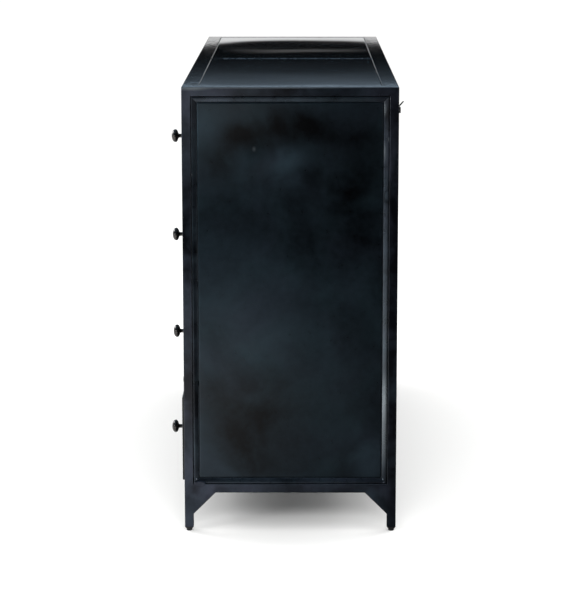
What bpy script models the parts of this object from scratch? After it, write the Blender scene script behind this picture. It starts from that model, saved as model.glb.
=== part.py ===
"""Wide chest of eight drawers in blackened, welded steel: a tube frame with sheet panels, on four short legs.

Metres, +Z up. The drawers face -Y, and left and right are as seen from the front, so right is +X. The origin
is on the floor, at the middle of the box that holds the whole chest, knobs and wall tie included.
"""

import math

import bmesh
import bpy
from mathutils import Vector

# The case, without knobs and wall tie
CASE_WIDTH = 1.420
CASE_DEPTH = 0.457
CASE_HEIGHT = 0.965
LEG_CLEARANCE = 0.0864  # floor to the underside of the case

# Steel sections
TUBE = 0.019  # square tube of the frame
TUBE_WALL = 0.0015
SHEET = 0.0010  # panels, drawers and the tops of the frame
GAP = 0.0003  # between pieces that touch

# Top
TOP_BORDER = 0.034  # width of the flat border around the top sheets
BATTEN_WIDTH = 0.030

# Face frame around the drawers
FACE_TOP_LIP = 0.005  # of the top frame below its tube, over the top drawers
FACE_BOTTOM_LIP = 0.002  # of the base frame above its tube, under the bottom drawers
FACE_RAIL = 0.028  # height of the three rails between the rows
FACE_MULLION = 0.028  # width of the upright between the two columns

# Sides and back
PANEL_RECESS = 0.006  # frame face to panel face
BEAD_WIDTH = 0.011
BEAD_HEIGHT = 0.004  # of the bead over the panel
BEAD_GROOVE = 0.001  # between the frame and the bead

# Base
GUSSET = 0.048  # legs of the triangular plates between a rail and a leg
GUSSET_PLATE = 0.002
CORNER_PLATE = 0.060  # flat plates inside the corners of the base
PAD_SIZE = 0.0126
PAD_HEIGHT = 0.005
FOOT_TAPER = 0.004  # height of the taper from the pad to the tube
PLUG_LENGTH = 0.016  # of the glide inside the tube

# Drawers
ROWS = 4
FRONT_CLEARANCE = 0.002  # around each drawer front
FRONT_DEPTH = 0.016
BOX_SIDE_CLEARANCE = 0.008  # box to the sides of its opening
BOX_RISE = 0.010  # underside of the box over the lower edge of its front
BOX_DROP = 0.020  # upper edge of the box under the upper edge of its front
BOX_BACK_CLEARANCE = 0.022
AJAR = 0.005  # how far the bottom right drawer stands open
RUNNER_BITE = 0.012  # of the runner under the box
RUNNER_PLATE = 0.0015
RUNNER_UPRIGHT = 0.020

# Knobs
KNOB_SPACING = 0.451
KNOB_RADIUS = 0.014
KNOB_LENGTH = 0.028
KNOB_NECK_RADIUS = 0.00415
KNOB_FOOT_RADIUS = 0.0085
KNOB_HEAD = 0.0135  # thickness of the head
KNOB_SEGMENTS = 16

# Wall tie, on the back near the upper right corner
TIE_DROP = 0.0515  # from the top of the case to the middle of the bracket
BRACKET_LENGTH = 0.036
BRACKET_CLEARANCE = 0.003  # from the corner post's inner face
BRACKET_HEIGHT = 0.0114
BRACKET_REACH = 0.0047  # past the back of the case
BRACKET_BRIDGE = 0.003
BRACKET_SLOT = 0.020
TIE_WIDTH = 0.0048
TIE_THICKNESS = 0.0016
TIE_REACH = 0.0118  # past the back of the case
TIE_ANGLE = math.radians(48)
TIE_HEAD = 0.0050

# Planes that the pieces share
CASE_MIDDLE = (KNOB_LENGTH + GAP + AJAR - TIE_REACH) / 2
FRONT = CASE_MIDDLE - CASE_DEPTH / 2
BACK = CASE_MIDDLE + CASE_DEPTH / 2
SIDE = CASE_WIDTH / 2
INNER_SIDE = SIDE - TUBE
INNER_FRONT = FRONT + TUBE
INNER_BACK = BACK - TUBE
BASE_TOP = LEG_CLEARANCE + TUBE
FRAME_UNDER_TOP = CASE_HEIGHT - TUBE
PANEL_INSIDE = PANEL_RECESS + SHEET
OPENING_BOTTOM = BASE_TOP + FACE_BOTTOM_LIP
OPENING_TOP = FRAME_UNDER_TOP - FACE_TOP_LIP
OPENING_HEIGHT = (OPENING_TOP - OPENING_BOTTOM - (ROWS - 1) * FACE_RAIL) / ROWS
OPENING_WIDTH = INNER_SIDE - FACE_MULLION / 2
DRAWER_MIDDLE = (INNER_SIDE + FACE_MULLION / 2) / 2

SIDES = {"left": -1, "right": 1}
CORNERS = {
    "front_left": (-1, -1),
    "front_right": (1, -1),
    "back_left": (-1, 1),
    "back_right": (1, 1),
}


def row_bottom(row):
    """Height of the lower edge of a row's openings; row 1 is the top one."""
    return OPENING_BOTTOM + (ROWS - row) * (OPENING_HEIGHT + FACE_RAIL)


# ---------------------------------------------------------------- finishes


def finish(name, colour, roughness, metallic):
    material = bpy.data.materials.new(name)
    material.use_nodes = True
    shader = material.node_tree.nodes["Principled BSDF"]
    shader.inputs["Base Color"].default_value = (*colour, 1)
    shader.inputs["Roughness"].default_value = roughness
    shader.inputs["Metallic"].default_value = metallic
    material.diffuse_color = (*colour, 1)
    return material


def make_finishes():
    return {
        "steel": finish("blackened_steel", (0.020, 0.026, 0.034), 0.32, 0.9),
        "inside": finish("inner_steel", (0.045, 0.048, 0.052), 0.45, 0.9),
        "knob": finish("dark_bronze", (0.018, 0.015, 0.013), 0.22, 1.0),
        "foot": finish("black_plastic", (0.012, 0.012, 0.013), 0.5, 0.0),
        "nylon": finish("black_nylon", (0.010, 0.010, 0.011), 0.45, 0.0),
    }


# ---------------------------------------------------------------- shapes


def clear_scene():
    for obj in list(bpy.data.objects):
        bpy.data.objects.remove(obj, do_unlink=True)


def put(name, shape, material):
    """Turn a finished bmesh into a named object."""
    bmesh.ops.recalc_face_normals(shape, faces=shape.faces[:])
    mesh = bpy.data.meshes.new(name)
    shape.to_mesh(mesh)
    shape.free()
    mesh.materials.append(material)
    obj = bpy.data.objects.new(name, mesh)
    bpy.context.scene.collection.objects.link(obj)
    return obj


def block(corner, opposite):
    """A straight block from any two opposite corners, as its low and high corner."""
    low = tuple(min(a, b) for a, b in zip(corner, opposite))
    high = tuple(max(a, b) for a, b in zip(corner, opposite))
    return low, high


def holds(blocks, point):
    return any(all(low[k] < point[k] < high[k] for k in range(3)) for low, high in blocks)


def blocks_shape(solid, cut=()):
    """One closed skin around a set of straight blocks, less the blocks cut away.

    The faces of the blocks divide space into cells. A cell is steel or air, and the skin is every face
    between the two.
    """
    planes = [
        sorted({round(corner[k], 7) for pair in (*solid, *cut) for corner in pair})
        for k in range(3)
    ]
    steel = set()
    for i in range(len(planes[0]) - 1):
        for j in range(len(planes[1]) - 1):
            for k in range(len(planes[2]) - 1):
                cell = (i, j, k)
                middle = [(planes[a][cell[a]] + planes[a][cell[a] + 1]) / 2 for a in range(3)]
                if holds(solid, middle) and not holds(cut, middle):
                    steel.add(cell)
    shape = bmesh.new()
    corners = {}

    def corner(index):
        if index not in corners:
            corners[index] = shape.verts.new([planes[a][index[a]] for a in range(3)])
        return corners[index]

    for cell in sorted(steel):
        for axis in range(3):
            for step in (0, 1):
                neighbour = list(cell)
                neighbour[axis] += 2 * step - 1
                if tuple(neighbour) in steel:
                    continue
                u, v = [a for a in range(3) if a != axis]
                loop = []
                for du, dv in ((0, 0), (1, 0), (1, 1), (0, 1)):
                    index = list(cell)
                    index[axis] += step
                    index[u] += du
                    index[v] += dv
                    loop.append(corner(tuple(index)))
                shape.faces.new(loop)
    bmesh.ops.recalc_face_normals(shape, faces=shape.faces[:])
    bmesh.ops.dissolve_limit(
        shape, angle_limit=math.radians(1), verts=shape.verts[:], edges=shape.edges[:]
    )
    return shape


def from_blocks(name, material, solid, cut=()):
    return put(name, blocks_shape(solid, cut), material)


def prism(name, material, outline, low, high, axis):
    """An outline in the plane across an axis (X: y, z points; Y: x, z; Z: x, y), extruded along it."""
    shape = bmesh.new()
    points = []
    for a, b in outline:
        point = [a, b]
        point.insert(axis, low)
        points.append(shape.verts.new(point))
    face = shape.faces.new(points)
    grown = bmesh.ops.extrude_face_region(shape, geom=[face])
    offset = Vector((0, 0, 0))
    offset[axis] = high - low
    moved = [item for item in grown["geom"] if isinstance(item, bmesh.types.BMVert)]
    bmesh.ops.translate(shape, vec=offset, verts=moved)
    return put(name, shape, material)


def square_stack(name, material, centre, levels):
    """A solid of square sections, each a half width and a height, closed at both ends."""
    shape = bmesh.new()
    rings = []
    for half, height in levels:
        corners = ((-half, -half), (half, -half), (half, half), (-half, half))
        rings.append(
            [shape.verts.new((centre[0] + x, centre[1] + y, height)) for x, y in corners]
        )
    for lower, upper in zip(rings, rings[1:]):
        for n in range(4):
            m = (n + 1) % 4
            shape.faces.new((lower[n], lower[m], upper[m], upper[n]))
    shape.faces.new(rings[0])
    shape.faces.new(rings[-1])
    return put(name, shape, material)


def unite(target, others):
    """Weld other objects to the target, and leave only the target."""
    for other in others:
        weld = target.modifiers.new("weld", "BOOLEAN")
        weld.operation = "UNION"
        weld.solver = "EXACT"
        weld.object = other
    bpy.context.view_layer.update()
    evaluated = target.evaluated_get(bpy.context.evaluated_depsgraph_get())
    joined = bpy.data.meshes.new_from_object(evaluated)
    target.modifiers.clear()
    old = target.data
    target.data = joined
    joined.name = old.name
    bpy.data.meshes.remove(old)
    for other in others:
        bpy.data.objects.remove(other, do_unlink=True)
    return target


# ---------------------------------------------------------------- frame


def make_posts_and_feet(finishes):
    """Four corner tubes from the feet to the top frame, each closed below by a push-in glide."""
    middle = (CASE_WIDTH - TUBE) / 2, (CASE_DEPTH - TUBE) / 2
    foot_height = PAD_HEIGHT + FOOT_TAPER
    plug = TUBE / 2 - TUBE_WALL - GAP
    for corner, (side, end) in CORNERS.items():
        x = side * middle[0]
        y = CASE_MIDDLE + end * middle[1]
        outer = TUBE / 2
        inner = outer - TUBE_WALL
        from_blocks(
            f"corner_post_{corner}",
            finishes["steel"],
            [block((x - outer, y - outer, foot_height), (x + outer, y + outer, FRAME_UNDER_TOP - GAP))],
            [block((x - inner, y - inner, 0), (x + inner, y + inner, CASE_HEIGHT))],
        )
        square_stack(
            f"foot_glide_{corner}",
            finishes["foot"],
            (x, y),
            [
                (PAD_SIZE / 2, 0),
                (PAD_SIZE / 2, PAD_HEIGHT),
                (outer, foot_height - GAP),
                (plug, foot_height - GAP),
                (plug, foot_height + PLUG_LENGTH),
            ],
        )


def make_top_frame(finishes):
    """A ring of tube with a flat border on it, and a deeper face rail at the front."""
    z0 = FRAME_UNDER_TOP
    z1 = CASE_HEIGHT
    border_side = SIDE - TOP_BORDER
    ring = [block((-SIDE, FRONT, z0), (SIDE, BACK, z1))]
    rail = [block((-INNER_SIDE + GAP, FRONT, OPENING_TOP), (INNER_SIDE - GAP, INNER_FRONT, z0))]
    below_border = block((-INNER_SIDE, INNER_FRONT, 0), (INNER_SIDE, INNER_BACK, z1 - SHEET))
    through = block((-border_side, FRONT + TOP_BORDER, 0), (border_side, BACK - TOP_BORDER, 2 * z1))
    # The bore of the tube, open below where it runs over the posts
    bore_low = z0 + TUBE_WALL
    bore_high = z1 - TUBE_WALL
    wall = TUBE_WALL
    bores = [
        block((-SIDE + wall, FRONT + wall, bore_low), (SIDE - wall, INNER_FRONT - wall, bore_high)),
        block((-SIDE + wall, INNER_BACK + wall, bore_low), (SIDE - wall, BACK - wall, bore_high)),
    ]
    for side in SIDES.values():
        bores.append(
            block(
                (side * (SIDE - wall), FRONT + wall, bore_low),
                (side * (INNER_SIDE + wall), BACK - wall, bore_high),
            )
        )
        for front in (FRONT, INNER_BACK):
            bores.append(
                block(
                    (side * (SIDE - wall), front + wall, 0),
                    (side * (INNER_SIDE + wall), front + TUBE - wall, bore_low),
                )
            )
    from_blocks("top_frame", finishes["steel"], ring + rail, [below_border, through, *bores])


def make_top_sheets(finishes):
    """Two flat sheets let into the border, and the channel that carries their seam."""
    low = CASE_HEIGHT - SHEET
    for name, side in SIDES.items():
        from_blocks(
            f"top_sheet_{name}",
            finishes["steel"],
            [
                block(
                    (side * GAP / 2, FRONT + TOP_BORDER + GAP, low),
                    (side * (SIDE - TOP_BORDER - GAP), BACK - TOP_BORDER - GAP, CASE_HEIGHT),
                )
            ],
        )
    half = BATTEN_WIDTH / 2
    start = INNER_FRONT + GAP
    stop = INNER_BACK - GAP
    from_blocks(
        "top_batten",
        finishes["inside"],
        [block((-half, start, FRAME_UNDER_TOP), (half, stop, low - GAP))],
        [block((-half + TUBE_WALL, start, 0), (half - TUBE_WALL, stop, low - GAP - TUBE_WALL))],
    )


def gusset_outline(start, direction, height):
    """A right triangle with a short tongue that runs up into the rail, in the plane of the frame's face."""
    tongue = TUBE / 2
    return [
        (start, height - GUSSET),
        (start + direction * GUSSET, height),
        (start + direction * GUSSET, height + tongue),
        (start, height + tongue),
    ]


def make_base_frame(finishes):
    """Four tubes between the posts, tied by plates inside the corners, with gussets down to the legs."""
    z0 = LEG_CLEARANCE
    z1 = BASE_TOP
    end_x = INNER_SIDE - GAP
    end_front = INNER_FRONT + GAP
    end_back = INNER_BACK - GAP
    wall = TUBE_WALL
    solid = [
        block((-end_x, FRONT, z0), (end_x, INNER_FRONT, OPENING_BOTTOM)),
        block((-end_x, INNER_BACK, z0), (end_x, BACK, z1)),
    ]
    cut = [
        block((-SIDE, FRONT + wall, z0 + wall), (SIDE, INNER_FRONT - wall, OPENING_BOTTOM - wall)),
        block((-SIDE, INNER_BACK + wall, z0 + wall), (SIDE, BACK - wall, z1 - wall)),
    ]
    plate_top = z1 - SHEET - GAP
    plate_bottom = plate_top - GUSSET_PLATE
    for side in SIDES.values():
        solid.append(block((side * INNER_SIDE, end_front, z0), (side * SIDE, end_back, z1)))
        cut.append(
            block(
                (side * (INNER_SIDE + wall), FRONT, z0 + wall),
                (side * (SIDE - wall), BACK, z1 - wall),
            )
        )
        for rail_face, end, inward in ((INNER_FRONT, end_front, 1), (INNER_BACK, end_back, -1)):
            far_x = side * (INNER_SIDE - CORNER_PLATE)
            far_y = rail_face + inward * CORNER_PLATE
            solid.append(block((far_x, end, plate_bottom), (side * INNER_SIDE, far_y, plate_top)))
            solid.append(block((far_x, rail_face, plate_bottom), (side * end_x, far_y, plate_top)))
    base = from_blocks("base_frame", finishes["steel"], solid, cut)
    gussets = []
    skin = 0.0001  # a gusset's face lies this far behind the face of its rail
    for side in SIDES.values():
        face = side * (SIDE - skin)
        behind = side * (SIDE - GUSSET_PLATE)
        for start, direction in ((end_front, 1), (end_back, -1)):
            outline = gusset_outline(start, direction, z0)
            gussets.append(
                prism("gusset", finishes["steel"], outline, min(face, behind), max(face, behind), 0)
            )
        outline = gusset_outline(side * end_x, -side, z0)
        for low, high in (
            (FRONT + skin, FRONT + GUSSET_PLATE),
            (BACK - GUSSET_PLATE, BACK - skin),
        ):
            gussets.append(prism("gusset", finishes["steel"], outline, low, high, 1))
    unite(base, gussets)


def make_bottom_panel(finishes):
    edge = INNER_SIDE - GAP
    from_blocks(
        "bottom_panel",
        finishes["inside"],
        [
            block(
                (-edge, INNER_FRONT + GAP, BASE_TOP - SHEET),
                (edge, INNER_BACK - GAP, BASE_TOP),
            )
        ],
    )


def make_face_rails(finishes):
    """Three channels from post to post, open to the back, between the rows of drawers."""
    edge = INNER_SIDE - GAP
    for row in range(1, ROWS):
        high = row_bottom(row)
        low = high - FACE_RAIL
        from_blocks(
            f"face_rail_{row}",
            finishes["steel"],
            [block((-edge, FRONT, low), (edge, INNER_FRONT, high))],
            [
                block(
                    (-SIDE, FRONT + TUBE_WALL, low + TUBE_WALL),
                    (SIDE, INNER_FRONT, high - TUBE_WALL),
                )
            ],
        )


def runner_height(row):
    """Upper face of a row's runners, just under the drawer box."""
    return row_bottom(row) + FRONT_CLEARANCE + BOX_RISE - GAP


def make_centre_divider(finishes):
    """The upright between the columns: a web, an edge that fills the face frame, and the inner runners."""
    half = FACE_MULLION / 2
    web = TUBE_WALL
    web_top = FRAME_UNDER_TOP - GAP
    web_end = BACK - PANEL_INSIDE - GAP
    post_clear = INNER_BACK - GAP
    solid = [block((-web, INNER_FRONT + GAP, BASE_TOP + GAP), (web, post_clear, web_top))]
    solid.append(block((-web, post_clear, BASE_TOP + GAP), (web, web_end, web_top)))
    cut = []
    for row in range(1, ROWS + 1):
        low = row_bottom(row) + GAP
        high = row_bottom(row) + OPENING_HEIGHT - GAP
        solid.append(block((-half, FRONT, low), (half, INNER_FRONT, high)))
        solid.append(block((-web, INNER_FRONT - TUBE_WALL, low), (web, INNER_FRONT + 2 * GAP, high)))
        for side in SIDES.values():
            cut.append(
                block(
                    (side * web, FRONT + TUBE_WALL, low),
                    (side * (half - TUBE_WALL), INNER_FRONT, high),
                )
            )
            top = runner_height(row)
            solid.append(
                block(
                    (side * web, INNER_FRONT + GAP, top - RUNNER_PLATE),
                    (side * (half + BOX_SIDE_CLEARANCE + RUNNER_BITE), post_clear, top),
                )
            )
    from_blocks("centre_divider", finishes["inside"], solid, cut)


def make_runner_frames(finishes):
    """The outer runners of each column: four ledges on two uprights, behind the side panel."""
    start = INNER_FRONT + GAP
    stop = INNER_BACK - GAP
    for name, side in SIDES.items():
        outer = side * (SIDE - PANEL_INSIDE - GAP)
        inner = side * (SIDE - PANEL_INSIDE - GAP - TUBE_WALL)
        reach = side * (INNER_SIDE - BOX_SIDE_CLEARANCE - RUNNER_BITE)
        solid = []
        for a, b in ((start, start + RUNNER_UPRIGHT), (stop - RUNNER_UPRIGHT, stop)):
            solid.append(block((outer, a, BASE_TOP + GAP), (inner, b, FRAME_UNDER_TOP - GAP)))
        for row in range(1, ROWS + 1):
            top = runner_height(row)
            solid.append(block((outer, start, top - RUNNER_PLATE), (reach, stop, top)))
        from_blocks(f"runner_frame_{name}", finishes["inside"], solid)


# ---------------------------------------------------------------- skins


def make_side_skins(finishes):
    """A recessed sheet on each side, with a mitred bead planted around its edge."""
    start = INNER_FRONT + GAP
    stop = INNER_BACK - GAP
    low = BASE_TOP + GAP
    high = FRAME_UNDER_TOP - GAP
    for name, side in SIDES.items():
        face = side * (SIDE - PANEL_RECESS)
        from_blocks(
            f"side_panel_{name}",
            finishes["steel"],
            [block((face, start, low), (side * (SIDE - PANEL_INSIDE), stop, high))],
        )
        back_of_bead = side * (SIDE - PANEL_RECESS + GAP)
        front_of_bead = side * (SIDE - PANEL_RECESS + BEAD_HEIGHT)
        groove = BEAD_GROOVE
        inset = BEAD_GROOVE + BEAD_WIDTH
        from_blocks(
            f"side_bead_{name}",
            finishes["steel"],
            [
                block(
                    (back_of_bead, INNER_FRONT + groove, BASE_TOP + groove),
                    (front_of_bead, INNER_BACK - groove, FRAME_UNDER_TOP - groove),
                )
            ],
            [
                block(
                    (0, INNER_FRONT + inset, BASE_TOP + inset),
                    (side * 2 * SIDE, INNER_BACK - inset, FRAME_UNDER_TOP - inset),
                )
            ],
        )


def make_back_panel(finishes):
    edge = INNER_SIDE - GAP
    from_blocks(
        "back_panel",
        finishes["steel"],
        [
            block(
                (-edge, BACK - PANEL_INSIDE, BASE_TOP + GAP),
                (edge, BACK - PANEL_RECESS, FRAME_UNDER_TOP - GAP),
            )
        ],
    )


def make_wall_tie(finishes):
    """A small bridge on the back panel, with the cut end of a nylon tie standing out of it."""
    x = SIDE - TUBE - BRACKET_CLEARANCE - BRACKET_LENGTH / 2
    z = CASE_HEIGHT - TIE_DROP
    low = z - BRACKET_HEIGHT / 2
    high = z + BRACKET_HEIGHT / 2
    seat = BACK - PANEL_RECESS + GAP
    crown = BACK + BRACKET_REACH
    under = crown - BRACKET_BRIDGE
    from_blocks(
        "tie_bracket",
        finishes["nylon"],
        [block((x - BRACKET_LENGTH / 2, seat, low), (x + BRACKET_LENGTH / 2, crown, high))],
        [block((x - BRACKET_SLOT / 2, 0, 0), (x + BRACKET_SLOT / 2, under, CASE_HEIGHT))],
    )
    near = under - GAP
    far = near - TIE_THICKNESS
    across = Vector((-math.sin(TIE_ANGLE), math.cos(TIE_ANGLE)))
    along = Vector((math.cos(TIE_ANGLE), math.sin(TIE_ANGLE)))
    inner_bend = Vector((near, high + GAP))
    run = (BACK + TIE_REACH - near) / along.x
    tip = inner_bend + along * run
    head_bottom = low - GAP - TIE_HEAD
    outline = [
        (near - TIE_HEAD, head_bottom),
        (near, head_bottom),
        (near, high + GAP),
        tuple(tip),
        tuple(tip + across * TIE_THICKNESS),
        (far, high + GAP + TIE_THICKNESS * math.tan(TIE_ANGLE / 2)),
        (far, low - GAP),
        (near - TIE_HEAD, low - GAP),
    ]
    prism("wall_tie", finishes["nylon"], outline, x - TIE_WIDTH / 2, x + TIE_WIDTH / 2, 0)


# ---------------------------------------------------------------- drawers


def knob_profile():
    """Radius and distance from the drawer front: a flared foot, a thin neck and a domed head."""
    back_of_head = KNOB_LENGTH - KNOB_HEAD
    rim = back_of_head + 0.36 * KNOB_HEAD
    points = [(KNOB_FOOT_RADIUS, 0), (KNOB_FOOT_RADIUS, 0.0015)]
    points.append((KNOB_NECK_RADIUS, 0.3 * back_of_head))
    points.append((KNOB_NECK_RADIUS, 0.85 * back_of_head))
    points.append((0.8 * KNOB_RADIUS, back_of_head))
    points.append((KNOB_RADIUS, rim))
    for n in (1, 2):
        angle = math.radians(30 * n)
        points.append((KNOB_RADIUS * math.cos(angle), rim + (KNOB_LENGTH - rim) * math.sin(angle)))
    return points


def knob_mesh(material):
    """The knob turned about its own -Y axis, standing on the drawer front at y = 0."""
    shape = bmesh.new()
    rings = []
    for radius, out in knob_profile():
        ring = []
        for n in range(KNOB_SEGMENTS):
            angle = 2 * math.pi * n / KNOB_SEGMENTS
            ring.append(shape.verts.new((radius * math.cos(angle), -out, radius * math.sin(angle))))
        rings.append(ring)
    for ring, following in zip(rings, rings[1:]):
        for n in range(KNOB_SEGMENTS):
            m = (n + 1) % KNOB_SEGMENTS
            shape.faces.new((ring[n], ring[m], following[m], following[n]))
    tip = shape.verts.new((0, -KNOB_LENGTH, 0))
    for n in range(KNOB_SEGMENTS):
        shape.faces.new((rings[-1][n], rings[-1][(n + 1) % KNOB_SEGMENTS], tip))
    shape.faces.new(rings[0])
    bmesh.ops.recalc_face_normals(shape, faces=shape.faces[:])
    mesh = bpy.data.meshes.new("knob")
    shape.to_mesh(mesh)
    shape.free()
    mesh.shade_smooth()
    mesh.set_sharp_from_angle(angle=math.radians(40))
    mesh.materials.append(material)
    return mesh


def make_drawer(finishes, knob, row, name, side):
    """A folded front pan, an open-topped box behind it and two knobs, on an empty that slides along -Y."""
    ajar = AJAR if (row, name) == (ROWS, "right") else 0
    slide = bpy.data.objects.new(f"slide_{row}_{name}", None)
    bpy.context.scene.collection.objects.link(slide)
    bottom = row_bottom(row) + FRONT_CLEARANCE
    height = OPENING_HEIGHT - 2 * FRONT_CLEARANCE
    middle = side * DRAWER_MIDDLE
    slide.location = (middle, FRONT - ajar, bottom)

    half = OPENING_WIDTH / 2 - FRONT_CLEARANCE
    pan = from_blocks(
        f"drawer_front_{row}_{name}",
        finishes["steel"],
        [block((-half, 0, 0), (half, FRONT_DEPTH, height))],
        [block((-half + SHEET, SHEET, SHEET), (half - SHEET, FRONT_DEPTH, height - SHEET))],
    )
    half = OPENING_WIDTH / 2 - BOX_SIDE_CLEARANCE
    start = FRONT_DEPTH + GAP
    stop = CASE_DEPTH - PANEL_INSIDE - BOX_BACK_CLEARANCE
    low = BOX_RISE
    high = height - BOX_DROP
    box = from_blocks(
        f"drawer_box_{row}_{name}",
        finishes["inside"],
        [block((-half, start, low), (half, stop, high))],
        [block((-half + SHEET, start + SHEET, low + SHEET), (half - SHEET, stop - SHEET, 2 * high))],
    )
    pieces = [pan, box]
    for place, sign in (("outer", side), ("inner", -side)):
        piece = bpy.data.objects.new(f"knob_{row}_{name}_{place}", knob)
        bpy.context.scene.collection.objects.link(piece)
        piece.location = (sign * KNOB_SPACING / 2, -GAP, height / 2)
        pieces.append(piece)
    for piece in pieces:
        piece.parent = slide


def main():
    clear_scene()
    finishes = make_finishes()
    make_posts_and_feet(finishes)
    make_top_frame(finishes)
    make_top_sheets(finishes)
    make_base_frame(finishes)
    make_bottom_panel(finishes)
    make_face_rails(finishes)
    make_centre_divider(finishes)
    make_runner_frames(finishes)
    make_side_skins(finishes)
    make_back_panel(finishes)
    make_wall_tie(finishes)
    knob = knob_mesh(finishes["knob"])
    for row in range(1, ROWS + 1):
        for name, side in SIDES.items():
            make_drawer(finishes, knob, row, name, side)


main()
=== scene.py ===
# %% [markdown]
# # A wide chest of drawers in blackened steel
# The chest is a frame of square tube, welded and ground smooth, with sheet steel let into it. It was
# blackened, waxed and lacquered, so it is nearly black, with soft cloudy reflections. This lesson dresses
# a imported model: its sizes are fixed, and every piece here is built from the boxes of the pieces it
# stands for.

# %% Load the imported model
import math

import bmesh
import bpy
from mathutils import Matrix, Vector, noise


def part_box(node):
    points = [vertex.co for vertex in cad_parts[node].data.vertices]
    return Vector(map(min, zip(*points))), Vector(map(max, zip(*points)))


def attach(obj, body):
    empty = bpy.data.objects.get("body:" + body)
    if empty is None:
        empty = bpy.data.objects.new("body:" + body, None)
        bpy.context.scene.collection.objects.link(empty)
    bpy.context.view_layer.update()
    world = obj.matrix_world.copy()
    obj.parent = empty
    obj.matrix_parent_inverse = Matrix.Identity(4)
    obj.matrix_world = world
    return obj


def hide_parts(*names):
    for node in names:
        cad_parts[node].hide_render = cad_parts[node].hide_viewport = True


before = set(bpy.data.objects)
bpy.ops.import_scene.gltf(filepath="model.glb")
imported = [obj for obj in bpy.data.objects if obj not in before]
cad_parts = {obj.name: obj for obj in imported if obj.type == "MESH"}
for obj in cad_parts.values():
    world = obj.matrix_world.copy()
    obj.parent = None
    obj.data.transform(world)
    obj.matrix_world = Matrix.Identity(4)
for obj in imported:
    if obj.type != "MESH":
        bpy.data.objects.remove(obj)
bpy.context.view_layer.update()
MM = 0.001
SIDES = {"left": -1, "right": 1}
ROWS = (1, 2, 3, 4)

# %% [markdown]
# ## Sizes from the frame
# A post gives the tube's width, the top frame gives the outside of the case, and a top sheet's edge gives
# the width of the flat border. Nothing is measured twice, so the looks always fit the model.

# %% Sizes
case_low, case_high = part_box("top_frame")
post_low, post_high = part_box("corner_post_front_right")
base_low, base_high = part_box("base_frame")
FRONT, BACK = case_low.y, case_high.y
HALF = case_high.x
TOP = case_high.z
TUBE = post_high.x - post_low.x
FOOT = post_low.z
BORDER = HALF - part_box("top_sheet_right")[1].x
MIDDLE = (FRONT + BACK) / 2
BASE_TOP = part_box("side_panel_right")[0].z
print("case", round(2 * HALF, 3), round(BACK - FRONT, 3), round(TOP, 3), "tube", round(TUBE, 4))

# %% [markdown]
# ## Camera
# The chest is looked at from its right end, from a standing person's eye height, with a long lens that
# keeps the sides nearly parallel. The lens looks down a little, and a small shift lifts the chest in the
# frame.

# %% Camera
LENS = 132.6
SENSOR = 36.0
EYE = Vector((5.249, MIDDLE + 0.021, 1.409))
LOOK_DOWN = math.radians(10.26)
TURN = math.radians(0.19)
lens = bpy.data.cameras.new("camera")
lens.lens = LENS
lens.sensor_width = SENSOR
lens.shift_y = -0.051
lens.clip_start, lens.clip_end = 0.05, 200
camera = bpy.data.objects.new("camera", lens)
bpy.context.scene.collection.objects.link(camera)
camera.location = EYE
ahead = -math.cos(LOOK_DOWN)
gaze = Vector((ahead * math.cos(TURN), ahead * math.sin(TURN), -math.sin(LOOK_DOWN)))
camera.rotation_mode = "QUATERNION"
camera.rotation_quaternion = gaze.to_track_quat("-Z", "Y")
bpy.context.scene.camera = camera
bpy.context.scene.view_settings.view_transform = "Standard"
print("camera at", tuple(round(c, 2) for c in EYE))

# %% [markdown]
# ## Helpers for materials
# Colours are written as the hex values that a colour picker shows, and `linear` turns them to the numbers
# that a shader needs. `add` adds any node: it sets the node's own fields, then fills the inputs that
# those leave in use, in order or by name. A whole material then reads as a few lines.


# %% Material helpers
def linear(hex_colour):
    channels = [int(hex_colour[n : n + 2], 16) / 255 for n in (1, 3, 5)]
    return (*[c / 12.92 if c <= 0.04045 else ((c + 0.055) / 1.055) ** 2.4 for c in channels], 1.0)


def feed(tree, socket, value):
    """Fill an input with a number or colour, from a socket, or from the first output a node has in use."""
    if isinstance(value, bpy.types.Node):
        value = next(output for output in value.outputs if output.enabled)
    if isinstance(value, bpy.types.NodeSocket):
        tree.links.new(value, socket)
    else:
        socket.default_value = value


def add(tree, kind, settings=None, *values, **named):
    """A node of this kind, with its fields set and its inputs filled."""
    node = tree.nodes.new("ShaderNode" + kind)
    for field, value in (settings or {}).items():
        setattr(node, field, value)
    in_use = [socket for socket in node.inputs if socket.enabled]
    for socket, value in zip(in_use, values):
        feed(tree, socket, value)
    for name, value in named.items():
        feed(tree, node.inputs[name.replace("_", " ")], value)
    return node


# %% Ramps and empty materials
def set_stops(node, *stops):
    """Give a colour ramp its stops: each is a place with a hex colour, or with a grey brightness."""
    stripes = node.color_ramp.elements
    stripes.remove(stripes[1])
    for n, (place, colour) in enumerate(stops):
        stripe = stripes.new(place) if n else stripes[0]
        stripe.position = place
        stripe.color = linear(colour) if isinstance(colour, str) else (colour, colour, colour, 1.0)
    return node


def new_material(name):
    """An empty material: itself, its tree, its shader, and the place on the piece in metres."""
    material = bpy.data.materials.new(name)
    material.use_nodes = True
    tree = material.node_tree
    place = add(tree, "TexCoord").outputs["Object"]
    return material, tree, tree.nodes["Principled BSDF"], place


LAY = {"data_type": "RGBA"}
TINT = {"data_type": "RGBA", "blend_type": "MULTIPLY"}
LIGHTEN = {"data_type": "RGBA", "blend_type": "ADD"}
SOFT = {"interpolation_type": "SMOOTHSTEP"}
SUBTRACT, MULTIPLY, DIVIDE = ({"operation": word} for word in ("SUBTRACT", "MULTIPLY", "DIVIDE"))
SCALE_ONTO = {"operation": "MULTIPLY_ADD"}
print("a mid grey #808080 is", round(linear("#808080")[0], 3), "of white")

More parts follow.
